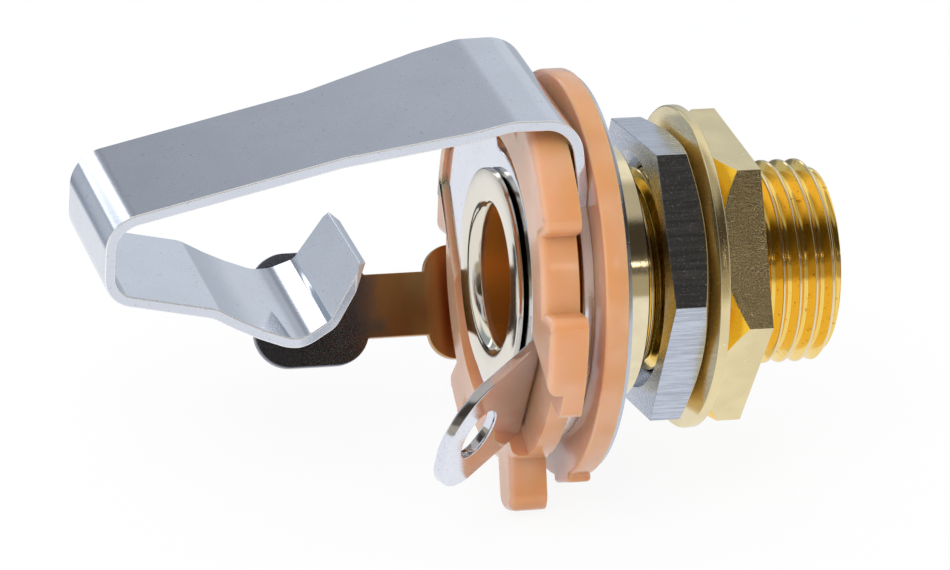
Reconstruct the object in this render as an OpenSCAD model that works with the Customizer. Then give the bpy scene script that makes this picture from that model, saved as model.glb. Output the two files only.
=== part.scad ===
// Two-contact 6.35 mm (1/4 in) panel phone jack, open frame, long bushing.
// X runs along the plug bore to the front, Z is up to the spring arm, millimetres.
// x = 0 is the front face of the front insulator, y = z = 0 the bore axis.

/* [Bushing] */
// Bore for the plug sleeve
bore_d = 6.5; // [6.4:0.05:6.8]
// Outside diameter of the 3/8-32 thread
thread_d = 9.525; // [9:0.005:10]
// Front end of the threaded barrel
barrel_end = 11.75; // [10:0.05:20]
// Diameter of the collar behind the thread
collar_d = 11.84; // [10.5:0.02:13]
// Front face of the collar
collar_end = 2.03; // [1.5:0.01:3]
// Diameter of the tube that carries the stack
tube_d = 7.9; // [7.5:0.05:8.4]
// Pitch of the thread, 32 to the inch
thread_pitch = 0.79375; // [0.7:0.00125:0.9]
// Depth of the thread
thread_depth = 0.42; // [0.2:0.01:0.48]
// Outside diameter of the rolled rim
rim_d = 10.1; // [9.5:0.05:10.5]
// Length of the rolled rim behind the sleeve terminal
rim_l = 0.4; // [0.3:0.05:0.6]
// Radius of the rim's rounded mouth
rim_r = 0.6; // [0.4:0.05:0.8]
// Lead chamfer on the thread end
lead = 0.45; // [0.2:0.05:0.8]
// Chamfer round the mouth of the bore
mouth = 0.3; // [0.1:0.05:0.6]

/* [Insulators] */
// How far the thin backing washer's edge stays inside the front insulator's
backing_inset = 0.25; // [0:0.05:1.5]
// Thickness of the thin backing washer
backing_t = 0.2; // [0.1:0.05:0.5]
// Diameter of the front insulator
front_d = 19; // [16:0.1:20]
// Thickness of the front insulator
front_t = 1.1; // [0.8:0.05:2]
// Radius of the body of the rear insulator, between its lobes
web_r = 8.6; // [7.8:0.05:9]
// Total thickness of the rear insulator at its lobes
rear_t = 1.73; // [1.2:0.01:2.5]
// Depth of the round pocket the sleeve terminal lies in
pocket_t = 0.73; // [0.3:0.01:1]
// Radius of the pocket floor
pocket_r = 6.9; // [6.4:0.1:7.5]

/* [Contacts] */
// Thickness of all strip metal
strip_t = 0.5; // [0.4:0.05:0.6]
// Radius of the spring's ring plate
ring_r = 7.6; // [7:0.1:8]
// Height of the level root over the bore, middle of the strip
root_z = 9.6; // [9.5:0.05:11]
// Slope of the spring arm, degrees
arm_slope = 13.7; // [8:0.1:18]
// Width of the spring strip along the arm
strip_w = 8.0; // [7:0.1:9]
// Width of the spring strip at the root
root_w = 10.4; // [9:0.1:11]
// Width of the contact lip at its end
lip_w = 6.3; // [5:0.1:8]
// Rear limit of the strip, outer face of the U-bend
spring_x = -23.1; // [-26:0.1:-20]
// Diameter of the wire eye in both terminals
eye_d = 2.5; // [1.5:0.1:3]
// Width of the sleeve terminal lug
lug_w = 6.05; // [4:0.05:7]
// Angle the sleeve lug is bent back, degrees
lug_bend = 50; // [20:1:80]

/* [Panel hardware] */
// Width across the flats of both nuts
nut_af = 12.7; // [12:0.05:14]
// Thickness of the inner nut
inner_nut_t = 2.05; // [1.5:0.05:3]
// Rear face of the inner nut
inner_nut_x = 2.85; // [2.1:0.01:4]
// Turn of the inner nut as stored, degrees
inner_turn = 21.2; // [0:0.1:60]
// Thickness of the outer nut
outer_nut_t = 2.17; // [1.5:0.01:3]
// Front face of the outer nut
outer_nut_end = 7.57; // [7:0.01:9]
// Turn of the outer nut as stored, degrees
outer_turn = 30.5; // [0:0.1:60]
// Outside diameter of the flat washer
washer_d = 15.1; // [13:0.1:17]
// Thickness of the flat washer
washer_t = 0.5; // [0.4:0.05:1]
// Rear face of the flat washer
washer_x = 4.9; // [4.85:0.01:5.5]

/* [Clearances] */
// Radial gap between the tube or boss and the plates on it
stack_gap = 0.05; // [0.02:0.01:0.2]
// Radial running clearance between thread crests and nut bores
thread_gap = 0.05; // [0.02:0.01:0.1]
// Radial clearance of the flat washer on the thread
washer_gap = 0.15; // [0.1:0.05:0.5]

/* [Hidden] */
$fa = 4;
$fs = 0.15;

spring_x1 = -front_t;                  // front face of the spring's ring plate
tip_x1 = spring_x1 - strip_t;          // front face of the tip terminal
rear_x1 = tip_x1 - strip_t;            // front face of the rear insulator
rear_x0 = rear_x1 - rear_t;            // rear face of its lobes
sleeve_x1 = rear_x0 + pocket_t;        // pocket floor, front face of the sleeve terminal
sleeve_x0 = sleeve_x1 - strip_t;       // its rear face, seat of the rolled rim
bush_r = tube_d/2 + 0.95;              // insulating boss between the tube and the plates
wide = 30;                             // more than any strip's width before it is trimmed

// ---------- helpers ----------

// a flat shape drawn as (y, z), thickened forward from x0
module plate(x0, t) translate([x0, 0, 0]) rotate([90, 0, 90]) linear_extrude(t) children();

module disc(x0, x1, r) translate([x0, 0, 0]) rotate([0, 90, 0]) cylinder(r = r, h = x1 - x0);

// a bent strip is a list of segments: [length] straight, [radius, degrees] bent
function step(s, g) = let (x = s[0], z = s[1], h = s[2])
    len(g) == 1
    ? [x + g[0]*cos(h), z + g[0]*sin(h), h]
    : let (d = g[1] < 0 ? -1 : 1, k = h + g[1])
      [x - d*g[0]*sin(h) + d*g[0]*sin(k), z + d*g[0]*cos(h) - d*g[0]*cos(k), k];
function walk(s, path, n) = n == 0 ? s : step(walk(s, path, n - 1), path[n - 1]);

// a bend is drawn in facets of about 5 degrees
function facets(g) = len(g) == 1 ? 1 : ceil(abs(g[1])/5);
function part_of(g, f) = len(g) == 1 ? [g[0]*f] : [g[0], g[1]*f];
function states(s0, path) = concat(
    [for (i = [0 : len(path) - 1]) let (s = walk(s0, path, i), g = path[i], n = facets(g))
        for (k = [0 : n - 1]) k == 0 ? s : step(s, part_of(g, k/n))],
    [walk(s0, path, len(path))]);
function side(q, d) = [for (s = q) [s[0] - d*sin(s[2]), s[1] + d*cos(s[2])]];
function reversed(p) = [for (i = [len(p) - 1 : -1 : 0]) p[i]];

module strip(s0, path, w) rotate([90, 0, 0]) linear_extrude(w, center = true)
    let (q = states(s0, path))
        polygon(concat(side(q, strip_t/2), reversed(side(q, -strip_t/2))));

// outline seen from above: pairs of [x, half width], mirrored across the bore
module planform(p) linear_extrude(40, center = true)
    polygon(concat(p, [for (i = [len(p) - 1 : -1 : 0]) [p[i][0], -p[i][1]]]));

// ---------- spring leaf ----------

root_s = [spring_x1 - strip_t/2, -8, 90];
lean_z = 6.2;                          // from here up the riser leans back
lean = 10;
lean_r = 3;
bend_r = 1.6;                          // middle radius of the bend at the root
lean_l = (root_z - lean_z - lean_r*sin(lean) - bend_r*(1 - sin(lean)))/cos(lean);
bend_path = [[lean_z - root_s[1]], [lean_r, lean], [lean_l], [bend_r, 90 - lean]];
hinge_x = spring_x1 - 2.3;             // root of the moving arm
slope_x = spring_x1 - 3.4;             // where the level root turns down into the slope
waist_x = -12.3;                       // the strip widens from waist_x to flare_x
flare_x = -6.8;
full_x = -3.5;                         // and a little more up to here
root_path = concat(bend_path, [[walk(root_s, bend_path, 4)[0] - hinge_x]]);
arm_s = walk(root_s, root_path, 5);
u_top = 1.55;                          // middle radii of the two bends of the U
u_low = 1.25;
lip_end = -10.6;                       // free end of the contact lip
level_l = hinge_x - slope_x;
arm_a = walk(arm_s, [[level_l], [2, arm_slope]], 2);
u_cx = spring_x + strip_t/2 + u_top;   // centre of the upper bend
arm_l = (arm_a[0] - (u_cx - u_top*sin(arm_slope)))/cos(arm_slope);
arm_path = [[level_l], [2, arm_slope], [arm_l], [u_top, 90 - arm_slope], [0.6]];
tip_s = walk(arm_s, arm_path, 5);
tip_path = [[0.66], [u_low, 78.2], [3.83], [1.2, -19.2], [17, 11.5], [1.9, 46.5],
            [0.75], [0.8, 33.5], [2.75]];

module spring_base() color([0.80, 0.81, 0.85]) difference() {
    intersection() {
        strip(root_s, root_path, wide);
        plate(-8, 8) {
            circle(ring_r);
            translate([-root_w/2, 4]) square([root_w, 8]);
        }
        planform([[flare_x - 1, strip_w/2], [flare_x, root_w/2 - 0.15], [full_x, root_w/2],
                  [spring_x1 - strip_t - 0.6, root_w/2], [spring_x1 - strip_t - 0.6, 10], [0, 10]]);
    }
    disc(tip_x1 - 1, spring_x1 + 1, bush_r + stack_gap);
}

module spring_arm() color([0.80, 0.81, 0.85]) intersection() {
    strip(arm_s, arm_path, root_w);
    planform([[spring_x - 1, strip_w/2], [waist_x, strip_w/2],
              [flare_x, root_w/2 - 0.15], [full_x, root_w/2], [0, root_w/2]]);
}

module tip_contact() color([0.80, 0.81, 0.85]) intersection() {
    strip(tip_s, tip_path, strip_w);
    planform([[spring_x - 1, strip_w/2], [lip_end - 3.3, strip_w/2],
              [lip_end - 0.6, lip_w/2 + 0.15], [lip_end - 0.15, lip_w/2 - 0.5],
              [lip_end + 1.6, 0.5]]);
}

// ---------- terminals ----------

tip_dir = -31;                         // direction of the tip lug round the axis
tip_y = 9.7;                           // middle of the lug from the axis
tip_w = 5.5;                           // width of its root
tip_r = 0.5;                           // inner radius of its bend
tip_end = -13.1;                       // rear end of the lug
tip_pad = 5.6;                         // length of the pad round its eye
tip_root = -4.6;                       // rear end of the wide root
neck_w = 3.06;                         // width of the neck between them
tip_ring_r = 7.2;                      // radius of its plate, cut flat below the leaning riser
eye_tip = tip_end + 2.9;

// a lug stands out of its plate toward dir, then bends to the rear
module toward(dir) rotate([dir - 90, 0, 0]) children();

module tip_terminal() color([0.78, 0.74, 0.70]) difference() {
    toward(tip_dir) intersection() {
        strip([rear_x1 + strip_t/2, -8, 90], [[tip_y + 8 - strip_t/2 - tip_r],
              [tip_r + strip_t/2, 90], [rear_x1 - tip_r - tip_end]], wide);
        plate(tip_end - 1, 20) {
            circle(tip_ring_r);
            translate([-tip_w/2, 0]) square([tip_w, 20]);
        }
        // the lug as seen from outside; the plate keeps its full width
        translate([0, 0, -10]) linear_extrude(30) {
            translate([-3, -10]) square([4, 20]);
            rounded(tip_root, -1, tip_w, 1.3);
            translate([tip_end + tip_pad - 1, -neck_w/2])
                square([tip_root - tip_end - tip_pad + 2, neck_w]);
            rounded(tip_end, tip_end + tip_pad, tip_w, 1.7);
        }
    }
    disc(rear_x1 - 1, rear_x1 + strip_t + 1, bush_r + stack_gap);
    plate(rear_x1 - 1, strip_t + 2) translate([-tip_ring_r, lean_z - 0.1]) square(2*tip_ring_r);
    toward(tip_dir) translate([eye_tip, 0, 0]) cylinder(d = eye_d, h = 20);
}

// flat with rounded corners between x0 and x1, w high
module rounded(x0, x1, w, r) {
    translate([x0 + r, -w/2]) square([x1 - x0 - 2*r, w]);
    translate([x0, r - w/2]) square([x1 - x0, w - 2*r]);
    for (x = [x0 + r, x1 - r], y = [r - w/2, w/2 - r]) translate([x, y]) circle(r);
}

lug_dir = 204;                         // direction of the sleeve lug round the axis
lug_y = 5.78;                          // start of its bend from the axis
lug_off = 0.75;                        // middle of the lug off the radial line
lug_r = 0.4;                           // inner radius of its bend
lug_l = 3.4;                           // bend to the centre of the rounded end

// the terminal seen from behind with its lug pointing up, g larger all round
module sleeve_outline(g) {
    circle(6.05 + g);
    rotate(138 - lug_dir) translate([0, -6.2 - g]) square([8 + g, 9.2 + 2*g]);
    translate([-lug_off - lug_w/2 - g, 3]) square([lug_w + 2*g, 15]);
}

module sleeve_terminal() color([0.84, 0.85, 0.90]) difference() {
    toward(lug_dir) intersection() {
        strip([sleeve_x0 + strip_t/2, -12, 90],
              [[lug_y + 12], [lug_r + strip_t/2, lug_bend], [lug_l + lug_w/2]], wide);
        plate(-20, 20) sleeve_outline(0);
    }
    disc(sleeve_x0 - 1, sleeve_x0 + strip_t + 1, tube_d/2 + stack_gap);
    // round end and eye, square to the bent lug
    toward(lug_dir) translate([sleeve_x0 - lug_r, -lug_off, lug_y]) rotate([0, 90 - lug_bend, 0])
        translate([-lug_l, 0, 0]) {
            difference() {
                translate([-lug_w, -lug_w, -0.5]) cube([lug_w, 2*lug_w, 2]);
                translate([0, 0, -1]) cylinder(d = lug_w + 0.1, h = 3);
            }
            translate([-0.38, 0, -0.5]) cylinder(d = eye_d, h = 2);
        }
}

// ---------- insulators ----------

module backing_washer() color([0.72, 0.72, 0.72]) difference() {
    disc(0, backing_t, front_d/2 - backing_inset);
    disc(-1, 1, tube_d/2 + stack_gap);
}

module front_insulator() color([0.93, 0.68, 0.52]) difference() {
    plate(-front_t, front_t) {
        circle(front_d/2);
        // low locating tab with slanted sides
        rotate(-115.5) polygon([[0, -3.4], [front_d/2 + 0.25, -1.2], [front_d/2 + 0.25, 1.2], [0, 3.4]]);
    }
    disc(-front_t - 1, 1, tube_d/2 + stack_gap);
}

function ray(a, r) = r*[cos(a), sin(a)];

// points round a lobe's corner at angle a; s is 1 where the lobe starts, -1 where it ends
function corner(a, r, s) = let (c = 0.5, turn = asin(c/(r - c)))
    [for (b = [0 : 0.3 : 0.9]) ray(a + s*turn, r - c) + ray(a - s*90*(1 - b) + s*turn*b, c)];

// lobe between two angles, out to radius r
module lobe(a0, a1, r) intersection() {
    circle(r);
    polygon(concat([[0, 0]], corner(a0, r, 1), [ray((a0 + a1)/2, 2*r)], reversed(corner(a1, r, -1))));
}

// what lies outside the bend of the spring's root, with a little clearance
module root_room() rotate([90, 0, 0]) linear_extrude(root_w + 0.6, center = true)
    let (inner = side(states(root_s, root_path), strip_t/2 + stack_gap))
        polygon(concat(inner, [[-20, inner[len(inner) - 1][1]], [-20, 20], [10, 20], [10, root_s[1]]]));

module rear_outline() {
    circle(web_r);
    lobe(-11, 50, 10.2);
    lobe(105, 145, 9.8);
    lobe(168, 198, 10.1);
    lobe(-68, -51, 10.2);
    rotate(-113) translate([0, -0.35]) rounded(0, 10.9, 2.3, 0.8);
}

module rear_insulator() color([0.94, 0.70, 0.58]) difference() {
    union() {
        difference() {
            plate(rear_x0, rear_t) rear_outline();
            root_room();
        }
        disc(rear_x1, spring_x1, bush_r);
    }
    toward(lug_dir) plate(rear_x0 - 1, sleeve_x1 - rear_x0 + 1) {
        circle(pocket_r);
        sleeve_outline(0.3);
    }
    disc(rear_x0 - 1, 1, tube_d/2 + stack_gap);
}

// ---------- bushing ----------

rim_x = sleeve_x0 - rim_l;             // rear face of the rolled rim
rim_step = 0.12;                       // the rim's edge stands clear of the terminal
turns = floor((barrel_end - lead/2 - collar_end)/thread_pitch);
groove_w = 0.6*thread_pitch;           // width of a groove at the crests

// the thread's grooves as rings, from the collar forward
thread = [for (i = [turns : -1 : 1], e = [-1, 0, 1])
    [thread_d/2 - (1 - abs(e))*thread_depth, barrel_end - lead/2 - i*thread_pitch + e*groove_w/2]];

module bushing() color([0.86, 0.70, 0.36]) rotate([0, 90, 0]) rotate_extrude() difference() {
    polygon(concat([[bore_d/2, rim_x], [rim_d/2, rim_x], [rim_d/2, sleeve_x0 - rim_step],
                    [rim_d/2 - 0.4, sleeve_x0], [tube_d/2, sleeve_x0], [tube_d/2, backing_t],
                    [collar_d/2, backing_t], [collar_d/2, collar_end], [thread_d/2, collar_end]],
                   thread,
                   [[thread_d/2, barrel_end - lead], [thread_d/2 - lead, barrel_end],
                    [bore_d/2 + mouth, barrel_end], [bore_d/2, barrel_end - mouth]]));
    // rounded mouth of the rolled rim
    difference() {
        translate([bore_d/2 - 1, rim_x - 1]) square(rim_r + 1);
        translate([bore_d/2 + rim_r, rim_x + rim_r]) circle(rim_r);
    }
}

// ---------- panel hardware ----------

nut_bore = thread_d/2 + thread_gap;

// one end of a nut turned down to a cone: r at the face, lean in degrees from the face
module turned_end(t, r, lean) cylinder(r1 = r, r2 = r + t/tan(lean), h = t);

// hexagon with a corner up at turn 0; children() bound its ends; sink countersinks the thread
module hex_nut(x0, t, turn, sink) difference() {
    translate([x0, 0, 0]) rotate([turn, 0, 0]) rotate([0, 90, 0]) rotate([0, 0, 180])
        intersection() {
            cylinder(d = nut_af/cos(30), h = t, $fn = 6);
            children();
        }
    disc(x0 - 1, x0 + t + 1, nut_bore);
    for (end = [0, 1]) translate([x0 + end*t, 0, 0]) rotate([0, 90 + 180*end, 0])
        translate([0, 0, -0.1]) cylinder(r1 = nut_bore + sink + 0.1, r2 = nut_bore, h = sink + 0.1);
}

module inner_nut() color([0.72, 0.73, 0.80])
    hex_nut(inner_nut_x, inner_nut_t, inner_turn, 0.7)
        translate([0, 0, inner_nut_t]) mirror([0, 0, 1]) turned_end(inner_nut_t, nut_af/2 - 0.5, 22);

module outer_nut() color([0.86, 0.78, 0.50])
    hex_nut(outer_nut_end - outer_nut_t, outer_nut_t, outer_turn, 0.4)
        turned_end(outer_nut_t, nut_af/2, 46.7);

module flat_washer() color([0.86, 0.80, 0.60]) difference() {
    disc(washer_x, washer_x + washer_t, washer_d/2);
    disc(washer_x - 1, washer_x + washer_t + 1, thread_d/2 + washer_gap);
}

bushing();
backing_washer();
front_insulator();
spring_base();
spring_arm();
tip_contact();
tip_terminal();
rear_insulator();
sleeve_terminal();
inner_nut();
flat_washer();
outer_nut();
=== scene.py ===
"""Looks of an open-frame quarter-inch phone jack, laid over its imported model.

The row frame is kept: X runs along the plug bore to the threaded front end, Z is up to the
spring arm, metres. Shapes are worked in millimetres and scaled once, when a mesh is made.
"""

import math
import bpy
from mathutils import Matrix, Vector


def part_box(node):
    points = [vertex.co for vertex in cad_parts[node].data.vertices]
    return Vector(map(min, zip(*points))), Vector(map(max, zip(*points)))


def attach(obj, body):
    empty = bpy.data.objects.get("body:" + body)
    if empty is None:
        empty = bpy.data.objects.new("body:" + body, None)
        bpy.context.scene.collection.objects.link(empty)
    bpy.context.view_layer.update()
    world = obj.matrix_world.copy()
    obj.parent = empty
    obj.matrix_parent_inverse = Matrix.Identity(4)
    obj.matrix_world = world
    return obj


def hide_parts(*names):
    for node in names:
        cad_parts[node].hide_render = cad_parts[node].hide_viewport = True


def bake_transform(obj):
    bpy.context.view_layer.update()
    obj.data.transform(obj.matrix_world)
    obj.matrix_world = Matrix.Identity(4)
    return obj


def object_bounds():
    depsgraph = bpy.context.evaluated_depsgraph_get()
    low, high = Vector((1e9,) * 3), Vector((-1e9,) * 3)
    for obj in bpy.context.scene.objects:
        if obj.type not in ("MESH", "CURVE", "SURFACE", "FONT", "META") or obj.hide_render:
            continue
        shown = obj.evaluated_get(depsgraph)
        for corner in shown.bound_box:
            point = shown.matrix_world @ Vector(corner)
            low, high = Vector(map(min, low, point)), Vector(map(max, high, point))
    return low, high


bl_info = {
    "name": "Open-frame phone jack",
    "version": (1, 0, 0),
    "blender": (4, 5, 0),
    "location": "View3D > Sidebar > Jack",
    "description": "Finished pieces, metals and moulded plastic for a quarter-inch panel jack",
    "category": "Object",
}

import bmesh
import bpy
from bpy.props import FloatProperty, FloatVectorProperty, IntProperty, PointerProperty
from mathutils import Matrix, Vector

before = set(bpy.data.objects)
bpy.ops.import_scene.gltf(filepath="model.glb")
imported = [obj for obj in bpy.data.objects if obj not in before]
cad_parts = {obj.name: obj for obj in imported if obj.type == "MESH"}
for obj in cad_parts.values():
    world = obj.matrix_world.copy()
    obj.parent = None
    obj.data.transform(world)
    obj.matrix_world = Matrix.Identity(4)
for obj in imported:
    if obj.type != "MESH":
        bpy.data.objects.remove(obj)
CAD_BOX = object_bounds()
MM = 0.001
WELD = 0.0005                  # millimetres between points that are one
FLAT = math.radians(0.4)       # faces that differ by less are one flat
SHARP = math.radians(32)       # edges that turn by more stay sharp in shading


# ---------- sizes and colours ----------

BUSHING_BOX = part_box("bushing")
REAR_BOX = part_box("rear_insulator")


def length(name, text, value, low=0.0, high=0.05):
    return FloatProperty(name=name, description=text, default=value, min=low, max=high,
                         unit="LENGTH", precision=5)


def colour(name, text, value):
    return FloatVectorProperty(name=name, description=text, default=value, min=0.0, max=1.0,
                               size=3, subtype="COLOR")


class JackSizes(bpy.types.PropertyGroup):
    pitch: length("Thread pitch", "Crest to crest, 32 threads to the inch", 0.00079375)
    thread_depth: length("Thread depth", "From crest to root", 0.000487)
    thread_phase: FloatProperty(name="Thread phase", description="Where the thread starts, turns",
                                default=0.955, min=0.0, max=0.999)
    thread_radius: length("Thread radius", "Radius over the crests", 0.0047625)
    bore_radius: length("Bore radius", "Radius of the plug bore", 0.00325)
    tube_radius: length("Tube radius", "Radius of the tube through the stack", 0.00395)
    collar_radius: length("Collar radius", "Radius of the collar ahead of the stack",
                          BUSHING_BOX[1].y)
    collar_end: length("Collar end", "Front face of the collar", 0.00203)
    collar_start: length("Collar start", "Rear face of the collar", 0.0002)
    lead: length("Lead chamfer", "Chamfer at the front end of the thread", 0.00045)
    mouth: length("Bore mouth", "Chamfer round the front of the bore", 0.0003)
    rim_radius: length("Rim radius", "Outside radius of the rolled rim", 0.00505)
    rim_length: length("Rim length", "Rolled rim behind the sleeve terminal", 0.0004)
    rim_curl: length("Rim curl", "Radius of the rim's rounded mouth", 0.0006)
    lobe_radius: length("Lobe radius", "Outside radius of the lobe beside the terminal", 0.01008)
    corner_reach: length("Corner reach", "Sleeve terminal's corner from the axis", 0.0095)
    corner_angle: FloatProperty(name="Corner angle", description="Corner above level, degrees",
                                default=13.5, min=0.0, max=45.0)
    sharp_edge: length("Turned edge", "Rounding of turned and milled edges", 0.00006)
    thin_edge: length("Thin edge", "Rounding of the thin backing washer", 0.00003)
    washer_edge: length("Washer edge", "Rounding of the flat washer", 0.00009)
    strip_edge: length("Strip edge", "Rounding of the stamped strip's edges", 0.00017)
    moulded_edge: length("Moulded edge", "Rounding of the insulators' outer edges", 0.0004)
    rounds: IntProperty(name="Rounds", description="Sides of a turned surface", default=160,
                        min=48, max=360)


class JackColours(bpy.types.PropertyGroup):
    brass: colour("Brass", "Champagne plate on the collar and rim", (0.88, 0.77, 0.52))
    # a deeper gold painted as shade into the thread's grooves and lead chamfer
    thread_shade_gold: colour("Deep gold", "Gold in the thread and on the chamfer", (0.95, 0.67, 0.17))
    # a deeper gold painted as shade inside the plug bore
    bore_shade_gold: colour("Bore gold", "Gold inside the plug bore", (0.90, 0.40, 0.06))
    rim_plate: colour("Rim plate", "Pale plate on the rolled rim", (0.80, 0.74, 0.62))
    thread_plate: colour("Thread plate", "Warmer plate over the thread", (0.86, 0.70, 0.45))
    # darker brown laid in random patches down in the thread's grooves
    dark_patches: colour("Stain", "Dark stains down in the thread", (0.35, 0.12, 0.02))
    pale_brass: colour("Pale brass", "Satin brass of the outer nut and washer", (0.88, 0.74, 0.42))
    # painted gold reflection on the outer nut's rear-facing slopes
    slope_reflection_gold: colour("Gilt", "Deep gold on the outer nut's rear slopes", (1.0, 0.60, 0.05))
    scratch: colour("Scratch", "Bright marks on satin brass", (0.96, 0.90, 0.72))
    worn_brass: colour("Worn brass", "Brass that shows through worn nickel", (0.95, 0.76, 0.38))
    nickel: colour("Nickel", "Plate on the inner nut", (0.60, 0.64, 0.72))
    spring: colour("Spring plate", "Bright plate on the spring leaf", (0.74, 0.77, 0.83))
    # painted white highlight on the spring's rounded edges
    highlit: colour("Rubbed plate", "Rounded edges of the spring", (0.97, 0.97, 0.97))
    terminal: colour("Terminal plate", "Smooth plate on the sleeve terminal", (0.84, 0.86, 0.92))
    # painted reflections on the tip terminal: dark overall, brown like the insulator along its
    # strip
    dark_reflection: colour("Smoky plate", "Dull plate on the tip terminal", (0.16, 0.17, 0.20))
    insulator_reflection: colour("Heat tint", "Brown tint of the tip terminal's strip", (0.50, 0.28, 0.11))
    moulding: colour("Moulding", "Salmon moulded insulators", (0.66, 0.315, 0.125))
    # paler moulding, laid in random patches and as painted light on rear-facing faces
    moulding_pale_and_lit: colour("Pale moulding", "Thin and rubbed moulding", (0.74, 0.45, 0.30))
    floor: colour("Floor", "Floor and backdrop", (0.93, 0.93, 0.93))


def sizes():
    return bpy.context.scene.jack_sizes


def colours():
    return bpy.context.scene.jack_colours


# ---------- shader maths ----------

class Shade:
    """A socket of a node tree. Arithmetic on it adds Math nodes to the tree."""

    def __init__(self, tree, socket=None):
        self.tree = tree
        self.socket = socket

    def node(self, kind, settings=None, values=None, out=0):
        """Adds a node: its settings first, then values or links by socket name or number."""
        node = self.tree.nodes.new(kind)
        for key, value in (settings or {}).items():
            if key == "stops":
                ramp = node.color_ramp
                while len(ramp.elements) < len(value):
                    ramp.elements.new(0.5)
                for element, (place, shade) in zip(ramp.elements, value):
                    element.position = place
                    element.color = shade
            else:
                setattr(node, key, value)
        for key, value in (values or {}).items():
            if isinstance(value, Shade):
                self.tree.links.new(value.socket, node.inputs[key])
            else:
                node.inputs[key].default_value = value
        return Shade(self.tree, node.outputs[out] if node.outputs else None)

    def math(self, operation, *others):
        return self.node("ShaderNodeMath", {"operation": operation},
                         dict(enumerate((self, *others))))

    def __add__(self, other):
        return self.math("ADD", other)

    __radd__ = __add__

    def __sub__(self, other):
        return self.math("SUBTRACT", other)

    def __rsub__(self, other):
        return (self*-1.0) + other

    def __mul__(self, other):
        return self.math("MULTIPLY", other)

    __rmul__ = __mul__

    def __truediv__(self, other):
        return self.math("DIVIDE", other)

    def root(self):
        return self.math("SQRT")

    def ramp(self, low, high):
        """0 below low and 1 above high, smooth between; runs the other way if low > high."""
        start, end = (low, high) if low < high else (high, low)
        rise = self.node("ShaderNodeMapRange", {"interpolation_type": "SMOOTHSTEP"},
                         {0: self, 1: start, 2: end})
        return rise if low < high else 1 - rise

    def split(self):
        return [self.node("ShaderNodeSeparateXYZ", None, {0: self}, out=i) for i in range(3)]

    def scaled(self, x, y, z):
        return self.node("ShaderNodeMapping", None, {"Vector": self, "Scale": (x, y, z)})

    def noise(self, scale, detail=2.0, roughness=0.5):
        return self.node("ShaderNodeTexNoise", None,
                         {"Vector": self, "Scale": scale, "Detail": detail,
                          "Roughness": roughness})

    def mixed(self, first, second):
        """Colour from first to second as this goes from 0 to 1."""
        mix = self.tree.nodes.new("ShaderNodeMix")
        mix.data_type = "RGBA"
        self.tree.links.new(self.socket, mix.inputs[0])
        for place, value in ((6, first), (7, second)):
            if isinstance(value, Shade):
                self.tree.links.new(value.socket, mix.inputs[place])
            else:
                mix.inputs[place].default_value = (*value[:3], 1.0)
        return Shade(self.tree, mix.outputs[2])

    def bump(self, height, strength, distance=0.00002):
        values = {"Height": height, "Strength": strength, "Distance": distance}
        if self.socket is not None:
            values["Normal"] = self
        return self.node("ShaderNodeBump", None, values)


def start_material(name):
    """A new material, a hand for its tree, and the row-frame place on the surface."""
    material = bpy.data.materials.new(name)
    material.use_nodes = True
    material.node_tree.nodes.clear()
    hand = Shade(material.node_tree)
    place = hand.node("ShaderNodeTexCoord", out=3)
    return material, hand, place


def end_material(hand, values):
    surface = hand.node("ShaderNodeBsdfPrincipled", None, values)
    hand.node("ShaderNodeOutputMaterial", None, {"Surface": surface})


def shade_of(value, factor):
    return tuple(min(1.0, channel*factor) for channel in value[:3])


# ---------- finishes ----------

def turned_brass():
    """Plated brass of the bushing: champagne outside, deep gold painted as shade where it mirrors
    itself, in the thread's grooves and the bore.
    """
    s, c = sizes(), colours()
    material, hand, place = start_material("turned_brass")
    x, y, z = place.split()
    radius = (y*y + z*z).root()
    rings = hand.node("ShaderNodeCombineXYZ", None, {0: x, 1: radius}).noise(26000, 2, 0.6)
    cloud = place.noise(700, 3, 0.6)
    grit = place.noise(9000, 2, 0.6)
    # darker brown in random patches, kept below to the thread's grooves
    dark_patches = place.noise(2600, 3, 0.7).ramp(0.60, 0.72)
    in_thread = x.ramp(s.collar_end, s.collar_end + 0.0002)
    # painted shade: below the crests the thread takes a deeper gold, standing for light bounced
    # between its flanks
    shaded_groove = radius.ramp(s.thread_radius - 0.00001, s.thread_radius - 0.00007)*in_thread
    rear = BUSHING_BOX[0].x
    in_bore = radius.ramp(s.bore_radius + 0.00035, s.bore_radius + 0.00005)
    in_bore = in_bore*x.ramp(rear + s.rim_curl - 0.0001, rear + s.rim_curl + 0.0002)
    on_rim = x.ramp(rear + 0.0020, rear + 0.0010)
    base = cloud.ramp(0.30, 0.75).mixed(c.brass, shade_of(c.brass, 0.9))
    base = (in_thread*0.8).mixed(base, c.thread_plate)
    base = shaded_groove.mixed(base, c.thread_shade_gold)
    base = on_rim.mixed(base, c.rim_plate)
    # painted shade: the bore takes a deeper gold, darker still toward its bottom
    shaded = z.ramp(-0.0006, -0.0030)
    base = in_bore.mixed(base, shaded.mixed(c.bore_shade_gold, shade_of(c.bore_shade_gold, 0.45)))
    base = (dark_patches*shaded_groove*0.6).mixed(base, c.dark_patches)
    grit = grit*(1 - in_bore)
    rough = 0.09 + cloud.ramp(0.4, 0.8)*0.08 + grit.ramp(0.58, 0.75)*0.08 + in_thread*0.03
    normal = hand.bump(rings, 0.30, 0.000004).bump(grit, 0.2, 0.000005)
    end_material(hand, {"Base Color": base, "Metallic": 1 - in_bore*0.28,
                        "Roughness": rough + in_bore*0.10, "Normal": normal})
    return material


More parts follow.
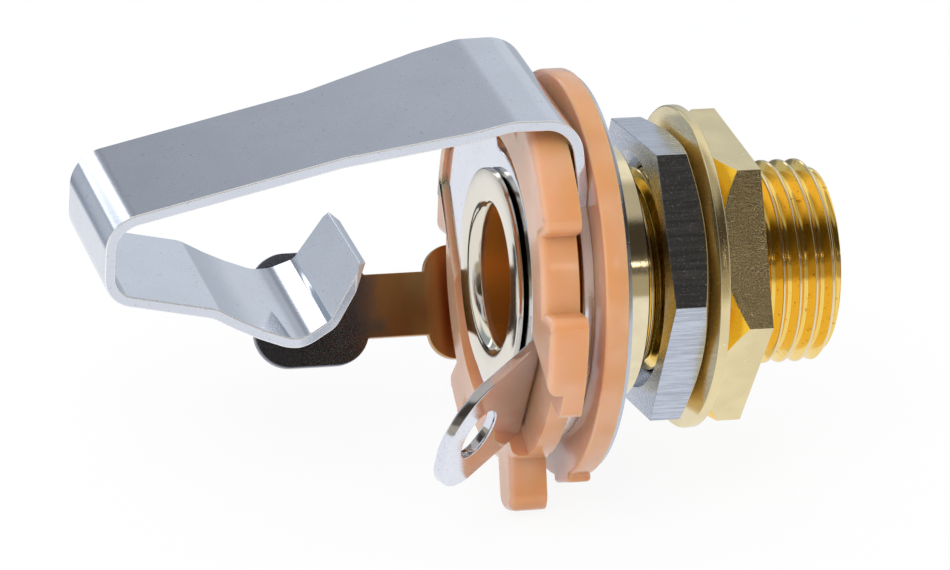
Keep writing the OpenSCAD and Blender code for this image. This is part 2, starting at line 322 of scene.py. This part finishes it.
def satin_brass(name, scratch_along=(1.0, 1.0, 1.0), slope_reflection=0.0):
    """Paler brass with a satin grain and bright marks, and a painted gold reflection on its
    rear-facing slopes as far as asked.
    """
    material, hand, place = start_material(name)
    grain = place.scaled(*scratch_along).noise(16000, 3, 0.65)
    cloud = place.noise(500, 2, 0.5)
    pits = place.noise(6500, 1, 0.5).ramp(0.73, 0.77)
    facing = hand.node("ShaderNodeNewGeometry", out=1).split()[0]
    # painted reflection: deep gold on faces turned to the rear
    reflecting_slope = facing.ramp(-0.30, -0.45)*facing.ramp(-0.95, -0.85)*slope_reflection
    base = cloud.ramp(0.3, 0.7).mixed(colours().pale_brass, shade_of(colours().pale_brass, 0.88))
    colour_now = reflecting_slope.mixed(base, colours().slope_reflection_gold)
    colour_now = pits.mixed(colour_now, colours().scratch)
    rough = 0.14 + grain*0.20
    normal = hand.bump(grain, 0.6, 0.000005).bump(pits, 0.3, 0.000008)
    end_material(hand, {"Base Color": colour_now, "Metallic": 1.0, "Roughness": rough,
                        "Normal": normal})
    return material


def brushed_nickel():
    """Nickel over brass, brushed along the axis and worn to brass on its front cone."""
    material, hand, place = start_material("brushed_nickel")
    lines = place.scaled(0.05, 1.0, 1.0).noise(7000, 4, 0.75)
    fine = place.scaled(0.12, 1.0, 1.0).noise(26000, 2, 0.6)
    pits = place.noise(7000, 2, 0.6).ramp(0.56, 0.68)
    ragged = place.noise(5200, 3, 0.7)
    facing = hand.node("ShaderNodeNewGeometry", out=1).split()[0]
    worn = (facing + ragged*0.5).ramp(0.50, 0.62)
    plate = lines.ramp(0.38, 0.62).mixed(shade_of(colours().nickel, 0.72), colours().nickel)
    colour_now = worn.mixed(plate, colours().worn_brass)
    rough = 0.14 + lines*0.14 + pits*0.08
    normal = hand.bump(lines, 0.7, 0.000010).bump(fine, 0.4, 0.000004).bump(pits, 0.2, 0.000008)
    end_material(hand, {"Base Color": colour_now, "Metallic": 1 - worn*0.5, "Roughness": rough,
                        "Normal": normal})
    return material


def plated_strip(name, base, along, lines_depth, roughness, highlit=0.0):
    """Bright plate with fine rolling lines along one direction, painted white as a highlight where
    it is rounded, as far as asked.
    """
    material, hand, place = start_material(name)
    lines = place.scaled(*along).noise(6500, 4, 0.65)
    cloud = place.noise(420, 3, 0.55)
    grain = place.noise(15000, 2, 0.6)
    specks = place.noise(4800, 2, 0.6).ramp(0.64, 0.74)
    side = hand.node("ShaderNodeNewGeometry", out=1).split()[1].math("ABSOLUTE")
    # painted highlight: rounded edges, turned partly sideways, are painted white
    rounded = side.ramp(0.20, 0.40)*side.ramp(0.99, 0.93)*highlit
    colour_now = cloud.ramp(0.35, 0.7).mixed(base, shade_of(base, 0.93))
    colour_now = grain.ramp(0.35, 0.65).mixed(shade_of(base, 0.90), colour_now)
    colour_now = (specks*0.6).mixed(colour_now, shade_of(base, 0.50))
    colour_now = rounded.mixed(colour_now, colours().highlit)
    rough = roughness + lines*0.06 + specks*0.1 + rounded*0.34
    normal = hand.bump(lines, lines_depth, 0.000004).bump(grain, 0.15, 0.000003)
    end_material(hand, {"Base Color": colour_now, "Metallic": 1 - rounded*0.3,
                        "Roughness": rough, "Normal": normal})
    return material


def reflection_painted_plate():
    """Plate of the tip terminal painted dark as a reflection, with a painted brown reflection of
    the insulator along its strip.
    """
    material, hand, place = start_material("tip_terminal_metal")
    x = place.split()[0]
    cloud = place.noise(420, 3, 0.6)
    lines = place.scaled(0.3, 1.0, 1.0).noise(6500, 3, 0.6)
    # painted reflection: the insulator's brown along the strip toward the rear
    tint = (x + (cloud - 0.5)*0.006).ramp(-0.0088, -0.0058)
    colour_now = tint.mixed(colours().dark_reflection, colours().insulator_reflection)
    normal = hand.bump(lines, 0.25, 0.000006)
    end_material(hand, {"Base Color": colour_now, "Metallic": 1.0, "Normal": normal,
                        "Roughness": 0.16 + cloud*0.14})
    return material


def moulded_plastic():
    """Glossy salmon thermoset, a little uneven, with painted light making it paler on its
    rear-facing faces, that lets light in.
    """
    material, hand, place = start_material("moulded_plastic")
    cloud = place.noise(300, 2, 0.5)
    ripple = place.noise(1300, 2, 0.5)
    grain = place.noise(9000, 2, 0.5)
    facing = hand.node("ShaderNodeNewGeometry", out=1).split()[0]
    # paler in random patches, and as painted light on faces turned to the rear
    pale = cloud.ramp(0.35, 0.70)*0.6 + facing.ramp(-0.3, -0.9)*0.5
    colour_now = pale.mixed(colours().moulding, colours().moulding_pale_and_lit)
    rough = 0.16 + grain*0.08
    normal = hand.bump(ripple, 0.45, 0.00004).bump(grain, 0.1, 0.000004)
    end_material(hand, {"Base Color": colour_now, "Roughness": rough, "Normal": normal,
                        "IOR": 1.5, "Subsurface Weight": 0.6,
                        "Subsurface Radius": (0.0016, 0.0004, 0.00015),
                        "Subsurface Scale": 1.0, "Coat Weight": 0.3,
                        "Coat Roughness": 0.06})
    return material


# ---------- meshes ----------

def put(name, work, materials, body):
    """Makes an object of a mesh worked in millimetres, and rides it on a body."""
    work.transform(Matrix.Scale(MM, 4))
    mesh = bpy.data.meshes.new(name)
    bmesh.ops.recalc_face_normals(work, faces=work.faces)
    work.to_mesh(mesh)
    work.free()
    mesh.polygons.foreach_set("use_smooth", [True]*len(mesh.polygons))
    mesh.set_sharp_from_angle(angle=SHARP)
    piece = bpy.data.objects.new(name, mesh)
    bpy.context.scene.collection.objects.link(piece)
    for material in materials:
        mesh.materials.append(material)
    # wide flats shade as flats beside their rounded edges
    even = piece.modifiers.new("even_normals", "WEIGHTED_NORMAL")
    even.keep_sharp = True
    even.weight = 80
    if body:
        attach(piece, body)
    return piece


def from_nodes(*nodes):
    """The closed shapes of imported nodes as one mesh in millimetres, flats made whole."""
    work = bmesh.new()
    for node in nodes:
        work.from_mesh(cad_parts[node].data)
    work.transform(Matrix.Scale(1/MM, 4))
    bmesh.ops.remove_doubles(work, verts=work.verts, dist=WELD)
    bmesh.ops.dissolve_limit(work, angle_limit=FLAT, verts=work.verts, edges=work.edges)
    return work


def soften(work, width, steps=3, least=30, where=None, held=True, swept=True):
    """Rounds the sharp edges, or those of them whose middle point passes where().

    held keeps the rounding from running into itself, swept takes out faces without area.
    """
    edges = []
    for edge in work.edges:
        if len(edge.link_faces) == 2 and edge.calc_face_angle(0) > math.radians(least):
            if where is None or where((edge.verts[0].co + edge.verts[1].co)/2):
                edges.append(edge)
    bmesh.ops.bevel(work, geom=edges, offset=width/MM, offset_type="OFFSET", segments=steps,
                    profile=0.5, affect="EDGES", clamp_overlap=held)
    if swept:
        bmesh.ops.dissolve_degenerate(work, edges=work.edges, dist=WELD)
    return work


def turned(before, helix, after, sides, per_pitch):
    """A closed turned shape. Rings are functions of the turn that give (x, radius).

    The helix's rings run on into the ring one pitch further after a full turn.
    """
    work = bmesh.new()
    loops = []
    for ring in (*before, *helix, *after):
        loops.append([])
        for k in range(sides):
            x, radius = ring(k/sides)
            angle = math.tau*k/sides
            loops[-1].append(work.verts.new((x, -radius*math.sin(angle), radius*math.cos(angle))))
    first, last = len(before), len(before) + len(helix) - 1
    for i, here in enumerate(loops):
        there = loops[(i + 1) % len(loops)]
        for k in range(sides):
            corners = [here[k], there[k]]
            for loop, j in ((there, (i + 1) % len(loops)), (here, i)):
                if k < sides - 1:
                    corners.append(loop[k + 1])
                elif first <= j <= last:
                    corners.append(loops[min(j + per_pitch, last)][0])
                else:
                    corners.append(loop[0])
            if len(set(corners)) > 2:
                work.faces.new(dict.fromkeys(corners))
    bmesh.ops.remove_doubles(work, verts=work.verts, dist=WELD)
    bmesh.ops.dissolve_degenerate(work, edges=work.edges, dist=WELD)
    return work


def arc(cx, cr, radius, start, end, steps):
    """Points (x, r) on an arc, angles in degrees from +X toward the outside."""
    return [(cx + radius*math.cos(math.radians(a)), cr + radius*math.sin(math.radians(a)))
            for a in (start + (end - start)*k/steps for k in range(steps + 1))]


# ---------- bushing ----------

# places of the mesh's rings in one pitch, closest where the profile turns
STEPS = (0.0, 0.045, 0.075, 0.11, 0.34, 0.385, 0.43, 0.57, 0.615, 0.66, 0.89, 0.925, 0.955)


def thread_fall(place):
    """How far the thread has fallen from crest (0) to root (1), place counted in pitches.

    The crest is an eighth of the pitch wide and the root a quarter, both with soft corners.
    """
    flank = (abs((place + 0.5) % 1.0 - 0.5) - 1/16)/(5/16)
    soft = 0.12
    if abs(flank) < soft:
        return (flank + soft)**2/(4*soft)
    if abs(flank - 1) < soft:
        return 1 - (1 + soft - flank)**2/(4*soft)
    return min(1.0, max(0.0, flank))


def thread_rings(s):
    """Helical rings from the collar to the front end; they meet one pitch on after a turn."""
    pitch, depth, crest = s.pitch/MM, s.thread_depth/MM, s.thread_radius/MM
    start, end, lead = s.collar_end/MM, BUSHING_BOX[1].x/MM, s.lead/MM
    runout = 0.35       # the thread deepens over this length ahead of the collar
    first = math.floor(start/pitch) - 2

    def ring(place):
        def at(turn):
            x = min(end, max(start, pitch*(place + turn + s.thread_phase)))
            radius = crest - depth*thread_fall(place)*min(1.0, (x - start)/runout)
            cone = crest - (x - (end - lead))
            return x, cone if x >= end else min(radius, cone)
        return at
    return [ring(first + k + step) for k in range(int((end - start)/pitch) + 5) for step in STEPS]


def bushing_mesh(s):
    bore, tube, rim = s.bore_radius/MM, s.tube_radius/MM, s.rim_radius/MM
    collar, start = s.collar_radius/MM, s.collar_end/MM
    back, end = s.collar_start/MM, BUSHING_BOX[1].x/MM
    edge, mouth, curl = s.sharp_edge/MM, s.mouth/MM, s.rim_curl/MM
    rear, plate = BUSHING_BOX[0].x/MM, (BUSHING_BOX[0].x + s.rim_length)/MM
    roll = 0.07         # rounding of the rim's outer corner

    def ring(x, radius):
        return lambda turn: (x, radius)

    # from the front of the bore back to the mouth, over the rim and forward to the collar
    profile = [(end - mouth, bore), (plate + 1.0, bore)]
    profile += arc(rear + curl, bore + curl, curl, -90, -176, 12)
    profile += [(rear, rim - 0.5)]
    profile += arc(rear + roll, rim - roll, roll, 180, 90, 5)
    # the rim's front side rises from the terminal toward its edge
    profile += [(plate - 0.14, rim), (plate - 0.11, rim - 0.05), (plate - 0.02, rim - 0.42)]
    profile += [(plate, tube), (back, tube), (back, collar - edge), (back + edge, collar),
                (start - edge, collar), (start, collar - edge)]
    return turned([ring(*point) for point in profile], thread_rings(s),
                  [ring(end, bore + mouth)], s.rounds, len(STEPS))


class JACK_OT_bushing(bpy.types.Operator):
    """Turned bushing with its real right-hand thread and rolled rim"""
    bl_idname = "jack.bushing"
    bl_label = "Bushing"

    def execute(self, context):
        piece = put("bushing_turned", bushing_mesh(sizes()), [turned_brass()], "frame")
        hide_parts("bushing")
        return {"FINISHED"}


# ---------- insulators ----------

def rim_bridge(work, s):
    """Thin wall of the left lobe that closes the pocket's corner beside the sleeve terminal."""
    outer, inner = s.lobe_radius/MM, s.corner_reach/MM + 0.04
    rear, front = REAR_BOX[0].x/MM + 0.01, REAR_BOX[0].x/MM + 0.8
    # degrees either side of the corner, as far as the pocket cuts into the lobe
    angles = [math.radians(90 - s.corner_angle + step) for step in range(-12, 15, 2)]
    ring = [(r*math.sin(a), r*math.cos(a)) for r, turn in ((outer, angles), (inner, angles[::-1]))
            for a in turn]
    ends = [[work.verts.new((x, y, z)) for y, z in ring] for x in (rear, front)]
    work.faces.new(ends[0])
    work.faces.new(ends[1][::-1])
    for k in range(len(ring)):
        work.faces.new((ends[0][k - 1], ends[1][k - 1], ends[1][k], ends[0][k]))


def on_outline(point):
    """Whether a point of the rear insulator lies on its rear face, well outside the pocket."""
    return point.x < REAR_BOX[0].x/MM + 0.01 and math.hypot(point.y, point.z) > 7.9


class JACK_OT_insulators(bpy.types.Operator):
    """Front and rear moulded insulators with rounded edges"""
    bl_idname = "jack.insulators"
    bl_label = "Insulators"

    def execute(self, context):
        s = sizes()
        plastic = moulded_plastic()
        front = soften(from_nodes("front_insulator"), s.moulded_edge*0.7, 5)
        piece = put("front_insulator_moulded", front, [plastic], "frame")
        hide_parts("front_insulator")
        rear = from_nodes("rear_insulator")
        soften(rear, s.moulded_edge, 5, 50, on_outline, held=False, swept=False)
        soften(rear, s.moulded_edge*0.3, 3, swept=False)
        rim_bridge(rear, s)
        piece = put("rear_insulator_moulded", rear, [plastic], "frame")
        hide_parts("rear_insulator")
        return {"FINISHED"}


# ---------- spring leaf ----------

MIDDLE = -14.0       # where the arm is cut, along the bore, millimetres
UNDER_ARM = 4.0      # all of the arm lies above this height, and the contact below it
STACK = -9.0         # what lies ahead of this place belongs to the root at any height


def leaf_half(work, ahead):
    """Keeps the leaf ahead of, or behind, the middle of the arm, and closes the cut."""
    bmesh.ops.bisect_plane(work, geom=[*work.verts, *work.edges, *work.faces],
                           plane_co=(MIDDLE, 0, 0), plane_no=(1, 0, 0))

    def kept(face):
        c = face.calc_center_median()
        is_ahead = c.z > UNDER_ARM and c.x > MIDDLE or c.x > STACK
        return is_ahead == ahead

    bmesh.ops.delete(work, geom=[f for f in work.faces if not kept(f)], context="FACES")
    bmesh.ops.holes_fill(work, edges=[e for e in work.edges if e.is_boundary], sides=0)
    return work


def leaf():
    """The whole leaf with its edges rounded, from the three nodes that stand for it."""
    work = from_nodes("spring_base", "spring_arm", "tip_contact")
    inner = [f for f in work.faces if len([e for e in f.edges if len(e.link_faces) > 2]) > 2]
    bmesh.ops.delete(work, geom=inner, context="FACES")
    bmesh.ops.dissolve_limit(work, angle_limit=FLAT, verts=work.verts, edges=work.edges)
    return soften(work, sizes().strip_edge, 3)


class JACK_OT_spring(bpy.types.Operator):
    """One bent spring leaf, made in two lengths that meet in the middle of the arm"""
    bl_idname = "jack.spring"
    bl_label = "Spring leaf"

    def execute(self, context):
        metal = plated_strip("spring_metal", colours().spring, (0.05, 1.0, 1.0), 0.28, 0.085,
                             highlit=1.0)
        root = put("spring_leaf_root", leaf_half(leaf(), True), [metal], None)
        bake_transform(root)
        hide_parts("spring_base", "spring_arm")
        tip = put("spring_leaf_tip", leaf_half(leaf(), False), [metal], None)
        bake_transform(tip)
        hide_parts("tip_contact")
        return {"FINISHED"}


# ---------- terminals ----------

def trim_corner(work, s):
    """Cuts the sleeve terminal's corner straight where the left lobe's wall passes it."""
    angle = math.radians(s.corner_angle)
    across = Vector((0, math.cos(angle), math.sin(angle)))
    bmesh.ops.bisect_plane(work, geom=[*work.verts, *work.edges, *work.faces],
                           plane_co=across*s.corner_reach/MM, plane_no=across, clear_outer=True)
    bmesh.ops.holes_fill(work, edges=[e for e in work.edges if e.is_boundary], sides=0)


class JACK_OT_terminals(bpy.types.Operator):
    """Tip and sleeve solder terminals"""
    bl_idname = "jack.terminals"
    bl_label = "Terminals"

    def execute(self, context):
        s = sizes()
        bright = plated_strip("terminal_metal", colours().terminal, (0.3, 1.0, 1.0), 0.12, 0.07)
        for node, metal in (("tip_terminal", reflection_painted_plate()), ("sleeve_terminal", bright)):
            work = from_nodes(node)
            if node == "sleeve_terminal":
                trim_corner(work, s)
            piece = put(node + "_stamped", soften(work, s.sharp_edge, 3), [metal],
                        "frame")
            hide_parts(node)
        return {"FINISHED"}


# ---------- washers and nuts ----------

class JACK_OT_washers(bpy.types.Operator):
    """Thin backing washer and the loose flat washer"""
    bl_idname = "jack.washers"
    bl_label = "Washers"

    def execute(self, context):
        s = sizes()
        steel = plated_strip("washer_steel", colours().nickel, (1.0, 1.0, 1.0), 0.3, 0.22)
        thin = soften(from_nodes("backing_washer"), s.thin_edge, 2)
        piece = put("backing_washer_plain", thin, [steel], "frame")
        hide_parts("backing_washer")
        brass = satin_brass("washer_brass")
        flat = soften(from_nodes("flat_washer"), s.washer_edge, 3)
        piece = put("flat_washer_stamped", flat, [brass], "washer_body")
        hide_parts("flat_washer")
        return {"FINISHED"}


class JACK_OT_nuts(bpy.types.Operator):
    """Inner nickel nut and outer brass nut"""
    bl_idname = "jack.nuts"
    bl_label = "Nuts"

    def execute(self, context):
        s = sizes()
        piece = put("inner_nut_milled", soften(from_nodes("inner_nut"), s.sharp_edge, 2, 12),
                    [brushed_nickel()], "inner_nut_body")
        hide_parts("inner_nut")
        brass = satin_brass("nut_brass", (0.15, 1.0, 1.0), 1.0)
        piece = put("outer_nut_milled", soften(from_nodes("outer_nut"), s.sharp_edge, 2, 12),
                    [brass], "outer_nut_body")
        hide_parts("outer_nut")
        return {"FINISHED"}


# ---------- stage ----------

# colours of the light tent, from dark to brighter than white
ROOM_TOP = (0.055, 0.047, 0.038)
ROOM = (0.14, 0.12, 0.10)
ROOM_LOW = (0.42, 0.38, 0.30)
TABLE_SHADE = (0.15, 0.18, 0.25)
TABLE_REAR = (0.50, 0.54, 0.60)
TABLE = (0.92, 0.93, 0.96)
WALL_DARK = (0.34, 0.36, 0.40)
WALL_LEFT = (0.34, 0.40, 0.47)
WALL = (0.52, 0.55, 0.60)
WALL_RIGHT = (0.72, 0.76, 0.82)
CEILING = (0.48, 0.46, 0.42)
PAPER = (0.95, 0.95, 0.95)
WINDOW = (2.3, 2.35, 2.4)
LAMP = (5.0, 4.6, 4.0)


def tent(direction):
    """What the metal mirrors: pale walls behind, one bright slanted window, a white table that
    falls into shade at the back left, and a dark room with one small lamp on the near side."""
    x, y, z = direction.split()
    wall = x.ramp(-0.03, 0.07).mixed(WALL_DARK, WALL)
    wall = x.ramp(0.12, 0.34).mixed(wall, WALL_RIGHT)
    wall = x.ramp(-0.20, -0.36).mixed(wall, WALL_LEFT)
    wall = x.ramp(-0.66, -0.80).mixed(wall, PAPER)
    wall = z.ramp(0.52, 0.70).mixed(wall, PAPER)
    # a band either side of a slanted line, between two heights
    window = (x + 0.17)*-0.845 + (z - 0.46)*0.535 - 0.008
    window = window.math("ABSOLUTE").ramp(0.060, 0.018)*z.ramp(0.07, 0.13)*z.ramp(0.62, 0.52)
    wall = window.mixed(wall, WINDOW)
    room = z.ramp(0.27, 0.33).mixed(ROOM_LOW, ROOM)
    room = z.ramp(0.48, 0.60).mixed(room, ROOM_TOP)
    above = y.ramp(-0.30, 0.20).mixed(room, wall)
    above = z.ramp(0.86, 0.93).mixed(above, CEILING)
    rear = y.ramp(-0.2, 0.3)*x.ramp(-0.60, -0.40)*z.ramp(-0.40, -0.30)
    table = rear.mixed(TABLE, TABLE_REAR)
    # an oval of shade on the table
    across, up = (x + 0.20)/0.17, (z + 0.20)/0.15
    shade = (across*across + up*up).ramp(1.3, 0.6)*y
    table = shade.mixed(table, TABLE_SHADE)
    edge = y.ramp(-0.6, 0.0)*0.10 - 0.04
    whole = (z - edge).ramp(0.05, -0.03).mixed(above, table)
    lamp = (x - 0.26).math("ABSOLUTE").ramp(0.03, 0.02)
    lamp = lamp*(z - 0.45).math("ABSOLUTE").ramp(0.03, 0.02)*y.ramp(0.0, -0.4)
    return lamp.mixed(whole, LAMP)


def build_world():
    """The tent in mirrors, soft light on matt surfaces and plain white to the camera."""
    world = bpy.data.worlds.new("light_tent")
    world.use_nodes = True
    world.node_tree.nodes.clear()
    hand = Shade(world.node_tree)
    direction = hand.node("ShaderNodeTexCoord", out=0)
    mirror = tent(direction)
    height = direction.split()[2]
    soft = height.ramp(-0.6, 0.9).mixed((0.62, 0.60, 0.60), (0.92, 0.93, 0.96))
    camera_ray = hand.node("ShaderNodeLightPath", out=0)
    diffuse_ray = hand.node("ShaderNodeLightPath", out=2)
    seen = diffuse_ray.mixed(mirror, soft)
    seen = camera_ray.mixed(seen, (1.0, 1.0, 1.0))
    glow = hand.node("ShaderNodeBackground", None, {"Color": seen, "Strength": 1.0})
    hand.node("ShaderNodeOutputWorld", None, {"Surface": glow})
    bpy.context.scene.world = world


def area_lamp(name, place, aim, side, power):
    """A square lamp that no metal mirrors."""
    lamp = bpy.data.lights.new(name, "AREA")
    lamp.shape = "RECTANGLE"
    lamp.size, lamp.size_y = side, side
    lamp.energy = power
    thing = bpy.data.objects.new(name, lamp)
    thing.location = place
    thing.rotation_euler = (Vector(aim) - Vector(place)).to_track_quat("-Z", "Y").to_euler()
    thing.visible_glossy = False
    bpy.context.scene.collection.objects.link(thing)


def floor_material():
    """White to the camera apart from a faint shadow."""
    material, hand, place = start_material("floor_white")
    grain = place.noise(400, 2, 0.5)
    base = grain.mixed(colours().floor, shade_of(colours().floor, 0.99))
    plain = hand.node("ShaderNodeBsdfDiffuse", None, {"Color": base})
    glow = hand.node("ShaderNodeEmission", None, {"Color": (1, 1, 1, 1), "Strength": 1.0})
    shown = hand.node("ShaderNodeLightPath", out=0)*0.9
    surface = hand.node("ShaderNodeMixShader", None, {0: shown, 1: plain, 2: glow})
    hand.node("ShaderNodeOutputMaterial", None, {"Surface": surface})
    return material


# the camera's place and directions in the row frame, and its lens in millimetres
CAMERA_PLACE = (-0.081532, -0.261041, 0.117862)
CAMERA_AHEAD = (0.25917, 0.87976, -0.39856)
CAMERA_UP = (0.05306, 0.39906, 0.91539)
LENS = 242.77
SENSOR = 36.0


def build_camera():
    camera = bpy.data.cameras.new("camera")
    camera.lens = LENS
    camera.sensor_width = SENSOR
    camera.clip_start = 0.01
    camera.clip_end = 10.0
    ahead = Vector(CAMERA_AHEAD).normalized()
    right = ahead.cross(Vector(CAMERA_UP).normalized()).normalized()
    up = right.cross(ahead)
    turn = Matrix((right, up, -ahead)).transposed().to_4x4()
    seat = bpy.data.objects.new("camera", camera)
    seat.matrix_world = Matrix.Translation(CAMERA_PLACE) @ turn
    bpy.context.scene.collection.objects.link(seat)
    bpy.context.scene.camera = seat


def build_floor(height):
    work = bmesh.new()
    bmesh.ops.create_grid(work, x_segments=1, y_segments=1, size=0.6)
    mesh = bpy.data.meshes.new("floor")
    work.to_mesh(mesh)
    work.free()
    mesh.materials.append(floor_material())
    ground = bpy.data.objects.new("floor", mesh)
    ground.location.z = height
    ground.visible_glossy = False
    bpy.context.scene.collection.objects.link(ground)


class JACK_OT_stage(bpy.types.Operator):
    """Camera, lamp, light tent and floor"""
    bl_idname = "jack.stage"
    bl_label = "Stage"

    def execute(self, context):
        low, high = CAD_BOX
        build_camera()
        context.scene.view_settings.view_transform = "Standard"
        build_world()
        area_lamp("key", (-0.12, -0.16, 0.22), (low + high)/2, 0.14, 0.30)
        build_floor(low.z)
        return {"FINISHED"}


# ---------- panel and registration ----------

PIECES = (JACK_OT_bushing, JACK_OT_insulators, JACK_OT_spring, JACK_OT_terminals,
          JACK_OT_washers, JACK_OT_nuts, JACK_OT_stage)


class JACK_PT_builder(bpy.types.Panel):
    """Buttons for the jack's pieces, with its sizes and colours"""
    bl_idname = "JACK_PT_builder"
    bl_label = "Phone jack"
    bl_space_type = "VIEW_3D"
    bl_region_type = "UI"
    bl_category = "Jack"

    def draw(self, context):
        for group in (context.scene.jack_sizes, context.scene.jack_colours):
            for name in group.__annotations__:
                self.layout.prop(group, name)
        for piece in PIECES:
            self.layout.operator(piece.bl_idname)


CLASSES = (JackSizes, JackColours, *PIECES, JACK_PT_builder)


def register():
    for item in CLASSES:
        bpy.utils.register_class(item)
    bpy.types.Scene.jack_sizes = PointerProperty(type=JackSizes)
    bpy.types.Scene.jack_colours = PointerProperty(type=JackColours)


def unregister():
    del bpy.types.Scene.jack_colours
    del bpy.types.Scene.jack_sizes
    for item in reversed(CLASSES):
        bpy.utils.unregister_class(item)


def main():
    register()
    bpy.ops.jack.bushing()
    bpy.ops.jack.insulators()
    bpy.ops.jack.spring()
    bpy.ops.jack.terminals()
    bpy.ops.jack.washers()
    bpy.ops.jack.nuts()
    bpy.ops.jack.stage()


if __name__ == "__main__":
    main()
